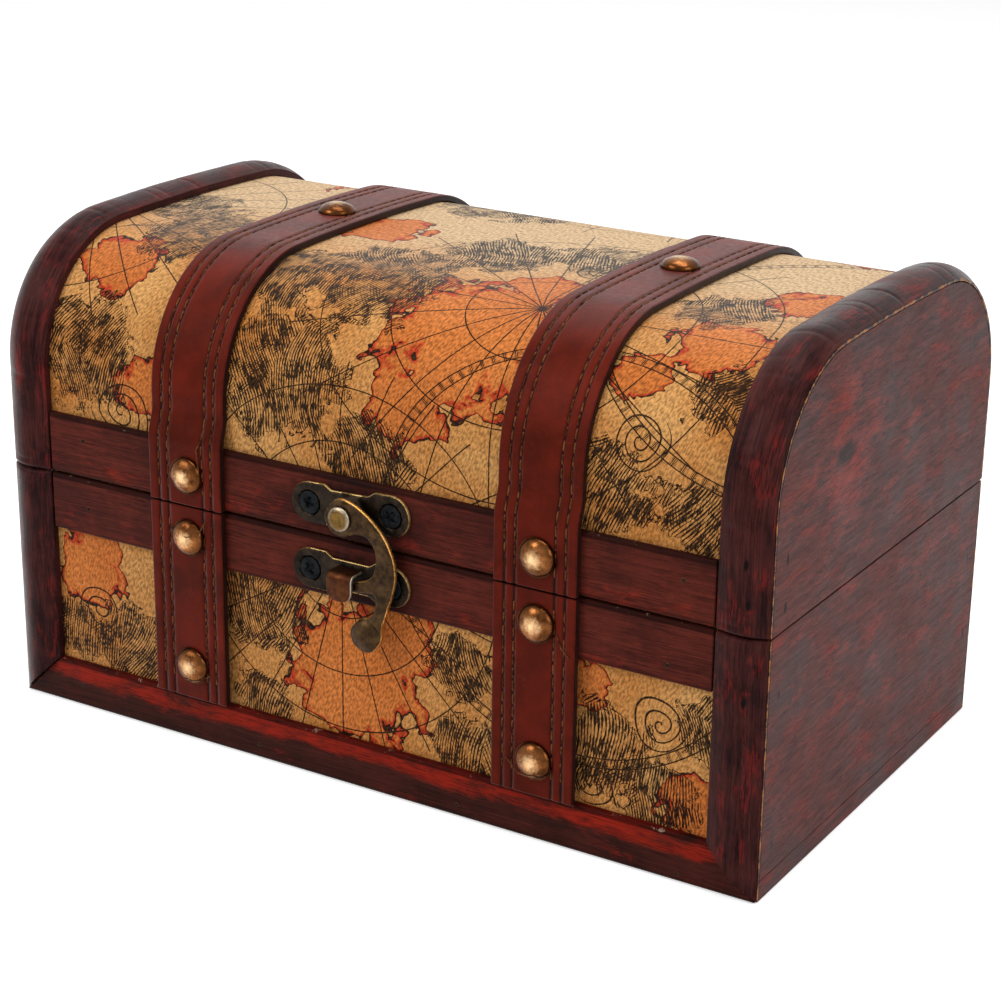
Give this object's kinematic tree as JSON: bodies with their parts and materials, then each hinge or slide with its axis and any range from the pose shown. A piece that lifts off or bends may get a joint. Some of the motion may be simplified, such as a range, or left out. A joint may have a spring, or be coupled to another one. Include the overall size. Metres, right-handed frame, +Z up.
{
  "type": "treasure chest",
  "caption": "Small domed wooden keepsake chest with a hinged lid, printed covers, two leather straps with domed tacks and a swinging hook latch.",
  "frame": {"origin": "centre of the flat underside", "axes": "+X along the length towards the right end seen from the front, -Y towards the front with the latch, +Z up"},
  "size_m": [0.22, 0.14, 0.1308],
  "materials": {
    "stained_trim_wood": "semi-gloss dark red-brown stain",
    "stained_rail_wood": "semi-gloss dark red stain",
    "stained_panel_wood": "dull purple-brown stain",
    "plain_board_wood": "plain, matt",
    "printed_leatherette": "embossed, printed tan and orange",
    "strap_leather": "smooth red-brown with a soft sheen",
    "tack_copper": "antique copper, polished",
    "antique_brass": "antique brass with worn edges",
    "dark_screw": "black, satin"
  },
  "bodies": {
    "base": {"base_back_board": "plain_board_wood", "base_back_bottom_rail": "stained_rail_wood", "base_back_printed_cover": "printed_leatherette", "base_back_top_rail": "stained_rail_wood", "base_front_board": "plain_board_wood", "base_front_bottom_rail": "stained_rail_wood", "base_front_printed_cover": "printed_leatherette", "base_front_top_rail": "stained_rail_wood", "base_left_end_panel": "stained_panel_wood", "base_left_lower_tack": "tack_copper", "base_left_strap": "strap_leather", "base_left_upper_tack": "tack_copper", "base_right_end_panel": "stained_panel_wood", "base_right_lower_tack": "tack_copper", "base_right_strap": "strap_leather", "base_right_upper_tack": "tack_copper", "bottom_board": "plain_board_wood", "corner_trim_back_left": "stained_trim_wood", "corner_trim_back_right": "stained_trim_wood", "corner_trim_front_left": "stained_trim_wood", "corner_trim_front_right": "stained_trim_wood", "hinge_left_base_leaf": "antique_brass", "hinge_left_base_screw_1": "antique_brass", "hinge_left_base_screw_2": "antique_brass", "hinge_left_pin": "antique_brass", "hinge_right_base_leaf": "antique_brass", "hinge_right_base_screw_1": "antique_brass", "hinge_right_base_screw_2": "antique_brass", "hinge_right_pin": "antique_brass", "keeper_plate": "antique_brass", "keeper_screw_left": "dark_screw", "keeper_screw_right": "dark_screw"},
    "lid": {"hinge_left_lid_leaf": "antique_brass", "hinge_left_lid_screw_1": "antique_brass", "hinge_left_lid_screw_2": "antique_brass", "hinge_right_lid_leaf": "antique_brass", "hinge_right_lid_screw_1": "antique_brass", "hinge_right_lid_screw_2": "antique_brass", "latch_plate": "antique_brass", "latch_rivet": "antique_brass", "latch_screw_left": "dark_screw", "latch_screw_right": "dark_screw", "lid_back_rail": "stained_rail_wood", "lid_front_rail": "stained_rail_wood", "lid_left_back_tack": "tack_copper", "lid_left_end_panel": "stained_panel_wood", "lid_left_front_tack": "tack_copper", "lid_left_strap": "strap_leather", "lid_left_top_tack": "tack_copper", "lid_left_trim": "stained_trim_wood", "lid_printed_cover": "printed_leatherette", "lid_right_back_tack": "tack_copper", "lid_right_end_panel": "stained_panel_wood", "lid_right_front_tack": "tack_copper", "lid_right_strap": "strap_leather", "lid_right_top_tack": "tack_copper", "lid_right_trim": "stained_trim_wood", "lid_shell": "plain_board_wood"},
    "latch_hook": {"latch_hook": "antique_brass"}
  },
  "joints": [
    {"name": "lid_hinge", "type": "hinge", "parent": "base", "child": "lid", "pos_m": [0, 0.0665, 0.0655], "axis": [-1, 0, 0], "range_deg": [0, 95]},
    {"name": "hook_pivot", "type": "hinge", "parent": "lid", "child": "latch_hook", "pos_m": [-0.0018, -0.0682, 0.073], "axis": [0, -1, 0], "range_deg": [-8, 80]}
  ]
}
